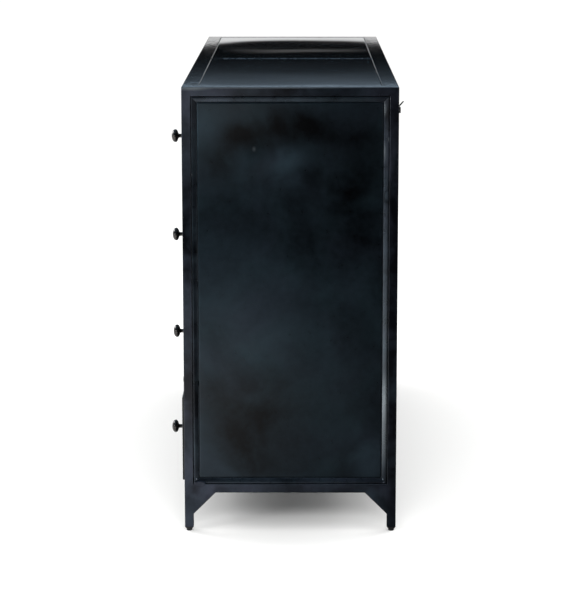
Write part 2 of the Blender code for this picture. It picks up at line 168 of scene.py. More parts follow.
# %% [markdown]
# ## Floor
# A studio floor is painted nearly white and lit until it has no edge. What the steel mirrors is another
# matter: a studio is dark beyond its lights, so glossy rays see a dim floor that brightens towards the
# drawers' side. One ramp dims it away from the chest along x, another across it along y.


# %% Floor
def make_floor():
    shape = bmesh.new()
    bmesh.ops.create_grid(shape, x_segments=8, y_segments=8, size=30)
    mesh = bpy.data.meshes.new("studio_floor")
    shape.to_mesh(mesh)
    shape.free()
    floor = bpy.data.objects.new("studio_floor", mesh)
    bpy.context.scene.collection.objects.link(floor)
    material, tree, shader, place = new_material("pale_studio_floor")
    axes = add(tree, "SeparateXYZ", None, place)
    far_metres = 10.0
    away = add(tree, "ValToRGB", None, add(tree, "Math", DIVIDE, axes.outputs["X"], far_metres))
    near = ((0.0, 0.55), (0.13, 0.95), (0.19, 1.0), (0.245, 0.60), (0.32, 0.30))
    set_stops(away, *near, (0.42, 0.03), (0.54, 0.04), (0.72, 0.45), (0.95, 0.9))
    across = add(tree, "ValToRGB", None, add(tree, "MapRange", None, axes.outputs["Y"], -3.0, 3.0))
    drawers_side = ((0.36, 0.95), (0.44, 0.90), (0.483, 0.42), (0.51, 0.16))
    set_stops(across, *drawers_side, (0.545, 0.06), (0.64, 0.06), (0.85, 0.50))
    mirrored = add(tree, "Mix", TINT, 1.0, away, across)
    glossy = add(tree, "LightPath").outputs["Is Glossy Ray"]
    paint = add(tree, "Mix", LAY, glossy, linear("#f8f8f7"), mirrored)
    feed(tree, shader.inputs["Base Color"], paint)
    feed(tree, shader.inputs["Roughness"], 0.9)
    feed(tree, shader.inputs["Specular IOR Level"], 0.1)
    mesh.materials.append(material)
    print("floor", round(floor.dimensions.x), "m wide")


make_floor()

# %% [markdown]
# ## The room
# A level, polished top seen at a slant mirrors only a belt of the room a few degrees above the horizon,
# so that belt gets a ramp of its own, spread out to use the ramp's full detail. In it stands a bright
# white wall beyond the far end, its upper edge a shallow arc, and a faint lamp-lit shelf over it. The
# rest of the walls are dim, under a lighter ceiling. Heights here are the height of the ray's direction,
# which is 0 at the horizon and 1 straight up. The camera sees plain white, and diffuse rays see a plain
# soft light.

# %% The room
BELT = (0.070, 0.100)
WALL_FOOT = (0.0700, 0.0725)
WALL_HEAD = (0.0766, 0.0754)
WALL_BEND = 0.8
SHELF_FOOT = (0.0797, 0.0803)
SHELF_HEAD = (0.0813, 0.0806)
SHELF_GLOW = 0.12
WALL_GLOW = 0.88
SOFT_LIGHT = 1.16
COOL = "#cbe4fa"


def make_walls(tree, height):
    """Dim walls under a lighter ceiling, in two ramps that meet at the belt's upper edge."""
    belt = add(tree, "ValToRGB", None, add(tree, "MapRange", None, height, *BELT))
    dark = ((0.0, 0.012), (0.20, 0.003), (0.36, 0.003), (0.44, 0.005), (0.52, 0.010), (0.58, 0.018))
    grey = ((0.65, 0.033), (0.71, 0.052), (0.77, 0.082), (0.83, 0.115), (0.87, 0.165))
    set_stops(belt, *dark, *grey, (0.888, 0.50), (1.0, 0.44))
    upper = add(tree, "ValToRGB", None, height)
    set_stops(upper, (0.10, 0.40), (0.13, 0.22), (0.22, 0.13), (0.40, 0.11), (0.65, 0.30), (0.9, 0.55))
    above = add(tree, "Math", {"operation": "GREATER_THAN"}, height, BELT[1])
    return add(tree, "Mix", LAY, above, belt, upper)


# %% The wall and the shelf
def make_glow(tree, axes, height):
    """The white wall and the shelf, seen only beyond the chest's far end."""
    beyond = add(tree, "MapRange", None, axes.outputs["X"], -0.80, -0.97)
    off_axis = add(tree, "Math", SUBTRACT, axes.outputs["Y"], 0.004)
    arc = add(tree, "Math", MULTIPLY, add(tree, "Math", MULTIPLY, off_axis, off_axis), WALL_BEND)
    head = add(tree, "MapRange", None, add(tree, "Math", SUBTRACT, height, arc), *WALL_HEAD)
    wall = add(tree, "Math", MULTIPLY, head, add(tree, "MapRange", None, height, *WALL_FOOT))
    shelf_foot = add(tree, "MapRange", None, height, *SHELF_FOOT)
    shelf_head = add(tree, "MapRange", None, height, *SHELF_HEAD, 0.0, SHELF_GLOW)
    sideways = add(tree, "Math", {"operation": "ABSOLUTE"}, axes.outputs["Y"])
    near_axis = add(tree, "MapRange", None, sideways, 0.036, 0.008)
    shelf = add(tree, "Math", MULTIPLY, add(tree, "Math", MULTIPLY, shelf_foot, shelf_head), near_axis)
    return add(tree, "Math", MULTIPLY, beyond, add(tree, "Math", SCALE_ONTO, wall, WALL_GLOW, shelf))


# %% What each ray sees
def make_world():
    world = bpy.data.worlds.new("studio_room")
    bpy.context.scene.world = world
    world.use_nodes = True
    # Each kind of ray sees its own room, so the room isn't sampled as a lamp
    world.cycles.sampling_method = "NONE"
    tree = world.node_tree
    tree.nodes.clear()
    ray = add(tree, "LightPath")
    axes = add(tree, "SeparateXYZ", None, add(tree, "TexCoord").outputs["Generated"])
    height = axes.outputs["Z"]
    # The lit side of the room, where the drawers face
    lit = add(tree, "MapRange", SOFT, axes.outputs["Y"], -0.1, -0.75, 0.0, 0.75)
    side = add(tree, "Math", MULTIPLY, lit, add(tree, "MapRange", None, height, 0.34, 0.12))
    tinted = add(tree, "Mix", TINT, 1.0, make_walls(tree, height), linear(COOL))
    lights = add(tree, "Math", {"operation": "ADD"}, make_glow(tree, axes, height), side)
    room = add(tree, "Mix", LIGHTEN, 1.0, tinted, lights)
    white = add(tree, "Background", None, linear("#ffffff"), 1.0)
    soft = add(tree, "Background", None, linear("#ffffff"), SOFT_LIGHT)
    mirrored = add(tree, "Background", None, room, 1.0)
    unseen = add(tree, "MixShader", None, ray.outputs["Is Glossy Ray"], soft, mirrored)
    seen = add(tree, "MixShader", None, ray.outputs["Is Camera Ray"], unseen, white)
    add(tree, "OutputWorld", None, seen)
    print("room nodes", len(tree.nodes))


make_world()

# %% [markdown]
# ## Soft boxes
# One big box stands at the drawers' side, one behind the chest to whiten the floor there, one over the
# near end to lighten the floor under it, and a small low one grazes the near end. The two in the middle
# would show as hard patches in the polish, so glossy rays pass them by.


# %% Soft boxes
def soft_box(name, place, target, width, height, watts, glossy=True):
    lamp = bpy.data.lights.new(name, "AREA")
    lamp.shape = "RECTANGLE"
    lamp.size, lamp.size_y = width, height
    lamp.energy = watts
    box = bpy.data.objects.new(name, lamp)
    bpy.context.scene.collection.objects.link(box)
    box.location = place
    aim = Vector(target) - Vector(place)
    box.rotation_euler = aim.to_track_quat("-Z", "Y").to_euler()
    box.visible_glossy = glossy


soft_box("drawer_side_box", (-1.6, -3.4, 2.3), (0.0, 0.0, 0.3), 2.0, 1.6, 75)
soft_box("back_side_box", (-1.8, 3.6, 1.9), (0.0, 0.6, 0.0), 2.6, 1.6, 82, glossy=False)
soft_box("end_box", (3.1, 0.0, 1.5), (0.6, 0.0, 0.0), 1.3, 0.7, 34, glossy=False)
soft_box("near_low_box", (2.2, -2.3, 0.85), (0.6, 0.0, 0.5), 0.32, 0.5, 11)

# %% [markdown]
# ## Blackened steel: its clouds
# Hot-rolled sheet carries a blue-grey mill scale. Blackening, wax and a thin lacquer darken it, and leave
# clouds a hand wide with finer mottling in them. Metal has no diffuse colour of its own, so the clouds
# are in the colour of its reflection. Over the clouds, soft spots at chosen places paint reflections into
# that colour: lighter where the steel should mirror something bright, darker where it should mirror
# something dark, their outlines broken by the clouds.


# %% Clouds and painted reflections
def soft_spot(tree, place, centre, size):
    """1 at the centre of a soft spot, 0 beyond its size along x, y and z."""
    away = add(tree, "VectorMath", SUBTRACT, place, centre)
    reach = add(tree, "VectorMath", {"operation": "LENGTH"}, add(tree, "VectorMath", DIVIDE, away, size))
    return add(tree, "MapRange", SOFT, reach, 0.0, 1.0, 1.0, 0.0)


def add_soft_spots(tree, place, value, painted_reflections):
    for centre, size, weight in painted_reflections:
        value = add(tree, "Math", SCALE_ONTO, soft_spot(tree, place, centre, size), weight, value)
    return value


def mill_scale_and_reflections(tree, place, clouds, mottle, dark, light, base, cloud, painted_reflections):
    """The colour of the blacking, dark where it is thick and light where it is wiped thin, with painted
    reflections at chosen spots.
    """
    stray = 0.12
    drift = add(tree, "VectorMath", SUBTRACT, clouds.outputs[1], (0.5, 0.5, 0.5))
    strayed = add(tree, "VectorMath", SCALE_ONTO, drift, (stray, stray, stray), place)
    thinness_and_reflections = add(tree, "MapRange", None, clouds.outputs[0], 0.32, 0.68, base - cloud, base + cloud)
    fine = add(tree, "MapRange", None, mottle.outputs[0], 0.3, 0.7, -0.3 * cloud, 0.3 * cloud)
    thinness_and_reflections = add(tree, "Math", {"operation": "ADD"}, thinness_and_reflections, fine)
    # Painted reflections: soft spots at chosen places lighten or darken the blacking's colour
    thinness_and_reflections = add(tree, "Clamp", None, add_soft_spots(tree, strayed, thinness_and_reflections, painted_reflections))
    skin = add(tree, "Mix", LAY, thinness_and_reflections, linear(dark), linear(light))
    # Oxide colours drift between a purple and a green-blue
    hue = add(tree, "MapRange", None, clouds.outputs[1], 0.35, 0.65)
    oxide = add(tree, "Mix", LAY, hue, linear("#f3f0ff"), linear("#e2fbff"))
    return add(tree, "Mix", TINT, 0.8, skin, oxide)


# %% [markdown]
# ## Blackened steel: wear, painted light and polish
# The edges are lightened towards brighter metal, about a millimetre wide: partly wear, where hands and
# cloths rub them back, and partly a painted highlight along them. The edges are found by comparing the
# true normal with one taken over a small radius. Undersides and folded rims are darkened with painted
# shade. An abrasive pad leaves fine upright scratches in the satin polish; real ones are too fine to show,
# so these are drawn 1.4 mm apart. Thin sheet is never flat, and its long shallow waves bend what it
# mirrors.


# %% Wear, painted highlights and painted shade
def wear_and_painted_light(tree, place, mottle, skin, wear_and_edge_highlight, painted_highlights, painted_underside_shade, painted_rim_shade):
    """The blacking with its edges lightened by wear and a painted highlight, painted highlights at chosen
    spots, and painted shade on undersides and folded rims.
    """
    rounded = add(tree, "Bevel", {"samples": 4}, Radius=0.9 * MM).outputs[0]
    true = add(tree, "NewGeometry").outputs["Normal"]
    agree = add(tree, "VectorMath", {"operation": "DOT_PRODUCT"}, rounded, true)
    # Wear and painted highlight: the rounded edges are lightened towards bright metal
    edges = add(tree, "MapRange", None, agree, 0.995, 0.93, 0.0, wear_and_edge_highlight * 1.6)
    # Painted highlights at chosen spots are added to the lightened edges
    bare_and_highlight = add_soft_spots(tree, place, add(tree, "Math", MULTIPLY, edges, mottle.outputs[0]), painted_highlights)
    colour = add(tree, "Mix", LAY, bare_and_highlight, skin, linear("#8f979c"))
    facing = add(tree, "SeparateXYZ", None, rounded)
    # Painted shade: faces that look down are darkened
    under = add(tree, "MapRange", None, facing.outputs["Z"], -0.1, -0.6, 0.0, painted_underside_shade)
    colour = add(tree, "Mix", LAY, under, colour, linear("#050607"))
    # Painted shade: rims that face neither the front nor the back are darkened
    frontal = add(tree, "Math", {"operation": "ABSOLUTE"}, facing.outputs["Y"])
    folded = add(tree, "MapRange", None, frontal, 0.6, 0.3, 0.0, painted_rim_shade)
    return add(tree, "Mix", LAY, folded, colour, linear("#050607"))


# %% Polish and waves
def satin(tree, place, mottle, rough):
    """Roughness that varies with the mottling and with scratches drawn along the height."""
    scratch, length = 1.4 * MM, 70 * MM
    lines = add(tree, "Mapping", None, Vector=place, Scale=(1 / scratch, 1 / scratch, 1 / length))
    hair = add(tree, "TexNoise", None, Vector=lines, Scale=1.0, Detail=1.0)
    patches = add(tree, "MapRange", None, mottle.outputs[0], 0.3, 0.7, rough * 0.85, rough * 1.2)
    return add(tree, "Math", SCALE_ONTO, hair, rough * 0.12, patches)


def hammered(tree, place, wave_mm, pull, dent_mm, grain_mm):
    """Two bumps: long waves, and the waves with a fine grain on them."""
    pulled = add(tree, "Mapping", None, Vector=place, Scale=(1 / pull, 1.0, 1.0))
    waves = add(tree, "TexNoise", None, Vector=pulled, Scale=1 / (wave_mm * MM), Detail=2.0, Roughness=0.4)
    grain = add(tree, "TexNoise", None, Vector=place, Scale=1 / (2.2 * MM), Detail=2.0, Roughness=0.6)
    low = add(tree, "Bump", None, Distance=dent_mm * MM, Height=waves)
    return low, add(tree, "Bump", None, Distance=grain_mm * MM, Height=grain, Normal=low)


# %% [markdown]
# ## Blackened steel: the whole finish
# The finish is a dark metal with a satin reflection, under a thin clear lacquer that mirrors sharply at a
# slant. One function makes all the steels of the chest; they differ in how thick the blacking lies, how
# wide its clouds are, how well the metal was polished, how much it was rubbed since, and where
# reflections, highlights and shade are painted into its colour.


# %% Steel finish
def steel(
    name, dark, light, cloud_mm, rough, dent_mm=0.1, grain_mm=0.01, wave_mm=60, pull=1.0, coat=0.3, slant=1.0,
    wear_and_edge_highlight=0.5, base=0.35, cloud=0.22, painted_underside_shade=0.0, painted_rim_shade=0.0, painted_reflections=(), painted_highlights=(),
):
    """Dark and light are the blacking's colours, base is how thin it lies, cloud how much that varies.

    Waves wave_mm long are dent_mm deep, pull draws them out along the chest, and slant dims the shine
    that is seen at a slant.
    """
    material, tree, shader, place = new_material(name)
    wide = 1 / (cloud_mm * MM)
    clouds = add(tree, "TexNoise", None, Vector=place, Scale=wide, Detail=3.0, Roughness=0.48, Distortion=0.8)
    mottle = add(tree, "TexNoise", None, Vector=place, Scale=1 / (16 * MM), Detail=4.0, Roughness=0.62)
    skin = mill_scale_and_reflections(tree, place, clouds, mottle, dark, light, base, cloud, painted_reflections)
    low, fine = hammered(tree, place, wave_mm, pull, dent_mm, grain_mm)
    finish = {
        "Base Color": wear_and_painted_light(tree, place, mottle, skin, wear_and_edge_highlight, painted_highlights, painted_underside_shade, painted_rim_shade),
        "Roughness": satin(tree, place, mottle, rough),
        "Normal": fine,
        "Coat Normal": low,
        "Metallic": 0.95,
        "Specular Tint": (slant, slant, slant, 1.0),
        "Coat Weight": coat,
        "Coat Roughness": min(0.05, rough),
    }
    for socket, value in finish.items():
        feed(tree, shader.inputs[socket], value)
    return material


def on_end(spots):
    """Spots on the right end: y, z, half its width, half its height, its weight, and how deep it reaches."""
    placed = []
    for y, z, wide, high, weight, *deep in spots:
        placed.append(((HALF, y, z), (deep[0] if deep else 0.4, wide, high), weight))
    return placed


# %% [markdown]
# ## The steels of the chest
# Each steel is named for what it is on the real chest. Its painted reflections are soft spots that lighten
# (above 0) or darken (below 0) its colour where it should mirror something bright or dark, and its painted
# highlights are the spots and lines lightened towards bright metal where it catches the light.

# %% Frame and end sheets
# Ground square tube: blue-grey, cloudy, its corners lightened by wear and a painted highlight, and its
# undersides darkened with painted shade
FRAME_STEEL = steel(
    "ground_tube_steel", "#12141a", "#565c68", 90, 0.30, dent_mm=0.08, wear_and_edge_highlight=0.8, painted_underside_shade=0.9,
    # Painted reflections: lighter and darker spots on the right end's frame
    painted_reflections=on_end(
        [
            (-0.20, 0.95, 0.12, 0.07, 0.60),
            (0.04, 0.96, 0.18, 0.06, -0.25),
            (-0.21, 0.66, 0.06, 0.15, -0.40),
            (0.235, 0.55, 0.05, 0.60, -0.35),
            (0.235, 0.85, 0.04, 0.10, -0.25),
            (-0.205, 0.27, 0.05, 0.27, -0.35),
            (-0.17, 0.13, 0.14, 0.05, 0.25, 0.3),
            (0.20, 0.075, 0.022, 0.045, 0.35, 0.3),
            (-0.18, 0.085, 0.022, 0.045, 0.25, 0.3),
        ]
    ),
    # Painted highlights: along the right end's top edge, and a short line at its front top corner
    painted_highlights=on_end([(-0.07, TOP, 0.34, 0.004, 0.9, 0.02), (-0.195, 0.962, 0.05, 0.006, 0.7, 0.02)]),
)
# Hot-rolled sheet under lacquer: almost black, with wide soft blue-grey clouds, and painted reflections and a
# small painted highlight on the right end
SHEET_STEEL = steel(
    "lacquered_hot_rolled_sheet", "#06080b", "#46565f", 150, 0.30, dent_mm=0.06, wear_and_edge_highlight=0.3, cloud=0.12,
    # Painted reflections: lighter and darker spots on the right end's sheet
    painted_reflections=on_end(
        [
            (-0.175, 0.895, 0.085, 0.085, 0.35),
            (0.0, 0.868, 0.21, 0.062, -0.32),
            (-0.10, 0.877, 0.085, 0.055, -0.32),
            (-0.135, 0.815, 0.050, 0.085, -0.26),
            (0.05, 0.765, 0.05, 0.05, -0.20),
            (-0.07, 0.25, 0.24, 0.18, -0.34),
            (0.005, 0.785, 0.085, 0.05, 0.45),
            (0.16, 0.75, 0.10, 0.25, -0.30),
            (0.05, 0.67, 0.20, 0.14, -0.15),
            (-0.10, 0.42, 0.17, 0.18, 0.10),
            (-0.02, 0.15, 0.15, 0.10, -0.12),
            (0.180, 0.155, 0.06, 0.10, 0.60),
        ]
    ),
    # Painted highlight: a small bright spot
    painted_highlights=on_end([(-0.0655, 0.834, 0.006, 0.008, 0.25)]),
)
# The planted bead: a little lighter than the sheet, with painted reflections and a painted highlight on its
# back run
BEAD_STEEL = steel(
    "planted_bead_steel", "#14181d", "#565f68", 90, 0.28, dent_mm=0.05, wear_and_edge_highlight=0.3,
    # Painted reflections: lighter and darker spots on the right end's bead
    painted_reflections=on_end(
        [
            (-0.21, 0.60, 0.05, 0.25, -0.25),
            (0.215, 0.885, 0.03, 0.035, -0.45),
            (0.220, 0.70, 0.006, 0.30, -0.30),
            (0.0, 0.11, 0.14, 0.012, -0.12),
            (-0.205, 0.30, 0.04, 0.28, -0.35),
        ]
    ),
    # Painted highlights: the bright lower part of the back run, and short bright lines on the bead
    painted_highlights=on_end(
        [
            (0.212, 0.28, 0.03, 0.09, 0.6),
            (0.212, 0.45, 0.03, 0.45, 0.12),
            (0.210, 0.19, 0.03, 0.07, 0.30),
            (0.209, 0.918, 0.006, 0.022, 0.35),
            (0.209, 0.828, 0.006, 0.030, 0.30),
            (0.219, 0.855, 0.003, 0.009, 0.9),
            (-0.198, 0.780, 0.003, 0.004, 0.9),
        ]
    ),
)
print("end finishes", FRAME_STEEL.name, SHEET_STEEL.name, BEAD_STEEL.name)

# %% Top, drawers, back and welds
# Waxed and buffed until it mirrors the room
TOP_STEEL = steel("waxed_top_sheet", "#0b0e12", "#4e5f6b", 170, 0.013, 0.001, 0.0001, coat=0.35, wear_and_edge_highlight=0.3)
# The border round it, hammered and ground along the chest, so what it mirrors is broken up
BORDER_STEEL = steel(
    "hammered_top_border", "#12141a", "#565c68", 60, 0.022, dent_mm=0.04, grain_mm=0.0004, wave_mm=9,
    pull=6.0, coat=0.2, slant=0.65, wear_and_edge_highlight=0.8,
)
# Drawer fronts: even, dark satin, with painted shade on the folded rims that draws the gaps
DRAWER_STEEL = steel(
    "blackened_drawer_sheet", "#0a0c0f", "#363c42", 190, 0.30, dent_mm=0.06, wear_and_edge_highlight=0.3, cloud=0.15, painted_rim_shade=0.9
)
# The back faces a wall, and was never waxed: darker and duller
BACK_STEEL = steel(
    "blackened_back_sheet", "#0b0d10", "#31363b", 240, 0.34, dent_mm=0.06, wear_and_edge_highlight=0.3, cloud=0.12
)
# Plain satin sheet inside the case, with no blacking
INNER_STEEL = steel("satin_inner_sheet", "#33373b", "#5a6066", 150, 0.42, dent_mm=0.1, coat=0.1, wear_and_edge_highlight=0.5)
# Wire-brushed screw and weld metal: pale grey against the black
WELD_STEEL = steel("brushed_weld_steel", "#2a3036", "#6a737b", 12, 0.36, dent_mm=0.2, grain_mm=0.03, wear_and_edge_highlight=0.6)
# Drops of bare weld: bright points
BRIGHT_WELD = steel("bare_weld_drop", "#7f868c", "#b4babf", 8, 0.30, dent_mm=0.05, wear_and_edge_highlight=0.5)
# Welds of the top, blackened after grinding and rubbed since, so they draw thin grey lines
SEAM_STEEL = steel(
    "blackened_weld_bead", "#1a1d20", "#5e666c", 34, 0.25, dent_mm=0.05, base=0.5,
    # Painted dark reflection: the welds near the front border are darkened
    painted_reflections=[((0, -0.19, TOP), (2.0, 0.05, 0.3), -1.4)],
)
print("steels", [m.name for m in bpy.data.materials])

# %% [markdown]
# ## Bronze, and two plastics
# The knobs are bronze, blackened and then polished by fingers, so they are almost black with a hard
# highlight. The glides and the wall tie are moulded plastic, with the fine matt grain of the tool they
# were moulded in.


# %% Knobs and plastics
def bronze():
    material, tree, shader, place = new_material("blackened_bronze")
    stain = add(tree, "TexNoise", None, Vector=place, Scale=1 / (6 * MM), Detail=3.0)
    tone = set_stops(add(tree, "ValToRGB", None, stain), (0.3, "#1c1917"), (0.7, "#37312d"))
    feed(tree, shader.inputs["Base Color"], tone)
    feed(tree, shader.inputs["Roughness"], add(tree, "MapRange", None, stain, 0.3, 0.7, 0.08, 0.13))
    pits = add(tree, "Bump", None, Strength=0.3, Distance=0.05 * MM, Height=stain)
    feed(tree, shader.inputs["Normal"], pits)
    for socket, value in {"Metallic": 1.0, "Coat Weight": 1.0, "Coat Roughness": 0.04}.items():
        feed(tree, shader.inputs[socket], value)
    return material


def moulded(name, dark, light, rough):
    material, tree, shader, place = new_material(name)
    grain = add(tree, "TexNoise", None, Vector=place, Scale=1 / (0.8 * MM), Detail=2.0)
    tone = set_stops(add(tree, "ValToRGB", None, grain), (0.3, dark), (0.7, light))
    feed(tree, shader.inputs["Base Color"], tone)
    matt = add(tree, "MapRange", None, grain, 0.3, 0.7, rough - 0.06, rough + 0.06)
    feed(tree, shader.inputs["Roughness"], matt)
    tool = add(tree, "Bump", None, Strength=0.4, Distance=0.05 * MM, Height=grain)
    feed(tree, shader.inputs["Normal"], tool)
    return material


BRONZE = bronze()
# Polyethylene: waxy and dull. Nylon: a little glossier
GLIDE_BLACK = moulded("glide_polyethylene", "#101113", "#1c1d1f", 0.55)
NYLON_BLACK = moulded("tie_nylon", "#0c0d0f", "#191a1d", 0.42)
print("finishes", len(bpy.data.materials))

# %% [markdown]
# ## Putting a piece in the scene
# `show` turns a finished shape into a piece, says which body it moves with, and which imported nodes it
# stands for. `soften` rounds a piece's edges, because no real edge is sharp. `tube` closes a row of rings
# into a skin, and `even` shares a length out. Most pieces below are made with these.


# %% Shape helpers
def show(name, shape, material, body, nodes=(), smooth=40):
    bmesh.ops.recalc_face_normals(shape, faces=shape.faces[:])
    mesh = bpy.data.meshes.new(name)
    shape.to_mesh(mesh)
    shape.free()
    mesh.materials.append(material)
    mesh.shade_smooth()
    mesh.set_sharp_from_angle(angle=math.radians(smooth))
    piece = bpy.data.objects.new(name, mesh)
    bpy.context.scene.collection.objects.link(piece)
    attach(piece, body)
    if nodes:
        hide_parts(*nodes)
    return piece


def soften(piece, width, segments=2):
    bevel = piece.modifiers.new("rounded_edges", "BEVEL")
    bevel.width = width
    bevel.segments = segments
    bevel.limit_method = "ANGLE"
    bevel.angle_limit = math.radians(30)
    bevel.harden_normals = True
    bevel.miter_outer = "MITER_ARC"


def bridge(shape, first, second):
    """Faces between two closed rings, or between a ring and a point."""
    for n in range(len(first)):
        m = (n + 1) % len(first)
        far = (second[0],) if len(second) == 1 else (second[m], second[n])
        shape.faces.new((first[n], first[m], *far))


def tube(shape, rings):
    """Bridge each ring to the next and close both ends."""
    for first, second in zip(rings, rings[1:]):
        bridge(shape, first, second)
    for end in (rings[0], rings[-1]):
        if len(end) > 1:
            shape.faces.new(end)


def even(start, stop, step):
    """Evenly spaced places between two ends, about a step apart, without the ends."""
    count = max(1, round((stop - start) / step))
    return [start + (stop - start) * n / count for n in range(1, count)]


def tidy_flat_faces(shape):
    bmesh.ops.dissolve_limit(shape, angle_limit=math.radians(0.5), verts=shape.verts[:], edges=shape.edges[:])


# %% [markdown]
# ## The welded frame
# The posts, the rails and the gussets are one weldment on the real chest: the joints are welded and
# ground until they don't show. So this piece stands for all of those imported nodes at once. Its bars'
# faces divide space into cells, and the skin is every face between steel and air, so no bar's end is left
# inside another. Each gusset starts as a square plate whose free corner is then welded up to the rail,
# which leaves a triangle.


# %% Joining bars
def bar(corner, opposite):
    low = tuple(min(a, b) for a, b in zip(corner, opposite))
    high = tuple(max(a, b) for a, b in zip(corner, opposite))
    return low, high


def steel_blocks(bars):
    """One skin round straight bars that touch or cross."""
    planes = [sorted({round(c[k], 6) for pair in bars for c in pair}) for k in range(3)]
    filled = set()
    for low, high in bars:
        first = [planes[k].index(round(low[k], 6)) for k in range(3)]
        last = [planes[k].index(round(high[k], 6)) for k in range(3)]
        for i in range(first[0], last[0]):
            for j in range(first[1], last[1]):
                filled.update((i, j, k) for k in range(first[2], last[2]))
    shape = bmesh.new()
    made = {}

    def corner(index):
        if index not in made:
            made[index] = shape.verts.new([planes[a][index[a]] for a in range(3)])
        return made[index]

    for cell in sorted(filled):
        for axis in range(3):
            u, v = [a for a in range(3) if a != axis]
            for step in (0, 1):
                beyond = list(cell)
                beyond[axis] += 2 * step - 1
                if tuple(beyond) in filled:
                    continue
                loop = []
                for du, dv in ((0, 0), (1, 0), (1, 1), (0, 1)):
                    index = list(cell)
                    index[axis] += step
                    index[u] += du
                    index[v] += dv
                    loop.append(corner(tuple(index)))
                shape.faces.new(loop)
    bmesh.ops.recalc_face_normals(shape, faces=shape.faces[:])
    tidy_flat_faces(shape)
    print("bars", len(bars), "faces", len(shape.faces))
    return shape


# %% Frame bars
BORDER_THICK = 3 * MM
GUSSET_PLATE = 2.5 * MM
GUSSET = 48 * MM
RAIL_LOW = base_low.z + GUSSET
MULLION = 28 * MM
INNER = HALF - TUBE


def frame_bars():
    front_in, back_in = FRONT + TUBE, BACK - TUBE
    base_tube = base_high.z
    lip = TOP - BORDER_THICK
    bars = []
    for side in SIDES.values():
        for start in (FRONT, back_in):
            bars.append(bar((side * HALF, start, FOOT), (side * INNER, start + TUBE, TOP)))
        bars.append(bar((side * HALF, FRONT, TOP - TUBE), (side * INNER, BACK, TOP)))
        bars.append(bar((side * HALF, FRONT, RAIL_LOW), (side * INNER, BACK, BASE_TOP)))
        bars.append(bar((side * HALF, FRONT, lip), (side * (HALF - BORDER), BACK, TOP)))
    bars.append(bar((-HALF, FRONT, case_low.z), (HALF, front_in, TOP)))
    bars.append(bar((-HALF, back_in, TOP - TUBE), (HALF, BACK, TOP)))
    bars.append(bar((-HALF, FRONT, RAIL_LOW), (HALF, front_in, base_tube)))
    bars.append(bar((-HALF, back_in, RAIL_LOW), (HALF, BACK, BASE_TOP)))
    bars.append(bar((-HALF, FRONT, lip), (HALF, FRONT + BORDER, TOP)))
    bars.append(bar((-HALF, BACK - BORDER, lip), (HALF, BACK, TOP)))
    for n in (1, 2, 3):
        low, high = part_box(f"face_rail_{n}")
        bars.append(bar((-INNER, FRONT, low.z), (INNER, front_in, high.z)))
    bars.append(bar((-MULLION / 2, FRONT, base_tube), (MULLION / 2, front_in, case_low.z)))
    return bars


# %% Gussets
def gusset_bars():
    low = RAIL_LOW - GUSSET
    bars = []
    for side in SIDES.values():
        plate, free = side * (HALF - GUSSET_PLATE), side * (INNER - GUSSET)
        for start, way in ((FRONT + TUBE, 1), (BACK - TUBE, -1)):
            bars.append(bar((side * HALF, start, low), (plate, start + way * GUSSET, RAIL_LOW)))
        for face, way in ((FRONT, 1), (BACK, -1)):
            bars.append(bar((side * INNER, face, low), (free, face + way * GUSSET_PLATE, RAIL_LOW)))
    return bars


def cut_gussets(shape):
    """Weld each square plate's free lower corner up to the rail."""
    close = 1e-5
    free_x = INNER - GUSSET
    free_y = (FRONT + TUBE + GUSSET, BACK - TUBE - GUSSET)
    low = RAIL_LOW - GUSSET
    by_place = {tuple(round(c, 5) for c in v.co): v for v in shape.verts}
    pairs = {}
    for v in shape.verts:
        x, y, z = v.co
        on_side = any(abs(y - f) < close for f in free_y) and abs(x) > HALF - 2 * GUSSET_PLATE
        on_face = abs(abs(x) - free_x) < close
        if abs(z - low) < close and (on_side or on_face):
            pairs[v] = by_place[tuple(round(c, 5) for c in (x, y, RAIL_LOW))]
    print("gusset corners welded", len(pairs))
    bmesh.ops.weld_verts(shape, targetmap=pairs)
    bmesh.ops.dissolve_degenerate(shape, dist=close, edges=shape.edges[:])


# %% Welded frame
frame_shape = steel_blocks(frame_bars() + gusset_bars())
cut_gussets(frame_shape)
tubes = [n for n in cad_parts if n.startswith(("corner_post", "face_rail"))]
welded = show("welded_frame", frame_shape, FRAME_STEEL, "case", tubes + ["top_frame", "base_frame"])
soften(welded, 1.1 * MM, 3)
welded.data.materials.append(BORDER_STEEL)
for face in welded.data.polygons:
    if face.center.z > TOP - 0.1 * MM:
        face.material_index = 1
print("frame faces", len(welded.data.polygons))

# %% [markdown]
# ## The top
# Two sheets lie in the border and meet over the middle. Thin sheet never lies quite flat: each one waves
# a little between its welds, which is what bends the long reflections. A pressed sheet is a grid whose
# outer rings follow a small section, so its mitres come by themselves, and its waves fade out before the
# rim.


# %% Pressed sheet
def rim_of(nu, nv):
    """The grid's outer places, once round."""
    order = [(i, 0) for i in range(nu)] + [(nu - 1, j) for j in range(1, nv)]
    return order + [(i, nv - 1) for i in range(nu - 2, -1, -1)] + [(0, j) for j in range(nv - 2, 0, -1)]


